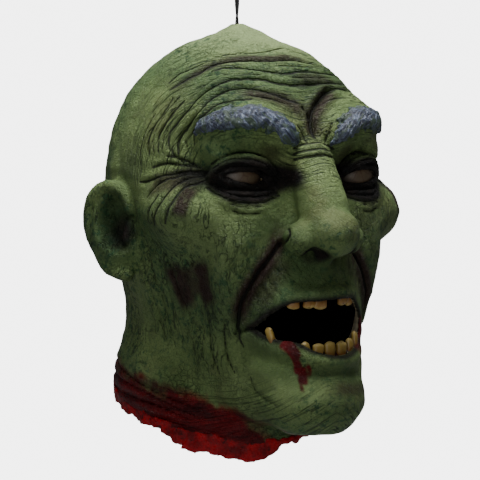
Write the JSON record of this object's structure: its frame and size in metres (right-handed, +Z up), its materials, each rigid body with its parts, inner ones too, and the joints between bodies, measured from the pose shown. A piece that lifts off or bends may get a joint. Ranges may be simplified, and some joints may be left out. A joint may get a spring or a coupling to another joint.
{
  "type": "latex halloween mask",
  "caption": "Full-head latex ghoul mask with open mouth, crooked teeth and torn neck edge, hung by its crown on a doubled cord and S-hook.",
  "frame": {"origin": "inside top of the S-hook's upper bend, where it hangs on its support", "axes": "+Z up through the hang point; the face looks along -Y; +X is the mask's own left side"},
  "size_m": [0.2024, 0.2364, 0.3607],
  "materials": {
    "green_latex": "matte painted latex, mottled green",
    "red_latex": "semi-gloss painted latex, blood red",
    "raw_latex": "matte unpainted cream latex",
    "brow_paint": "glossy blue-grey brushed paint on latex",
    "gum_latex": "semi-gloss dark red latex",
    "tooth_enamel": "stained yellow enamel",
    "eye_enamel": "dull tan enamel",
    "black_scrim": "matte black cloth",
    "black_cord": "matte black braided cord",
    "zinc_steel": "zinc-plated steel"
  },
  "bodies": {
    "hook": {"s_hook": "zinc_steel"},
    "cord": {"cord_loop": "black_cord", "cord_twist": "black_cord"},
    "knot": {"cord_stub": "black_cord", "knot": "black_cord"},
    "head": {"head_skin": "green_latex", "neck_rim": "red_latex", "left_eye": "eye_enamel", "right_eye": "eye_enamel", "left_brow": "brow_paint", "right_brow": "brow_paint", "upper_tooth_1": "tooth_enamel", "upper_tooth_2": "tooth_enamel", "upper_tooth_3": "tooth_enamel", "upper_tooth_4": "tooth_enamel", "upper_tooth_5": "tooth_enamel", "upper_gum": "gum_latex", "lower_tooth_1": "tooth_enamel", "lower_tooth_2": "tooth_enamel", "lower_tooth_3": "tooth_enamel", "lower_tooth_4": "tooth_enamel", "lower_tooth_5": "tooth_enamel", "lower_tooth_6": "tooth_enamel", "lower_tooth_7": "tooth_enamel", "lower_gum": "gum_latex", "mouth_pouch": "black_scrim", "crown_boss": "raw_latex", "washer": "zinc_steel"}
  },
  "joints": [
    {"name": "cord_swing", "type": "hinge", "parent": "hook", "child": "cord", "pos_m": [0, 0, -0.0375], "axis": [1, 0, 0], "range_deg": [-40, 40]},
    {"name": "head_tilt", "type": "hinge", "parent": "cord", "child": "knot", "pos_m": [0, 0, -0.0783], "axis": [0, 1, 0], "range_deg": [-20, 20]},
    {"name": "head_spin", "type": "hinge", "parent": "knot", "child": "head", "pos_m": [0, 0, -0.0783], "axis": [0, 0, 1], "continuous": true}
  ]
}
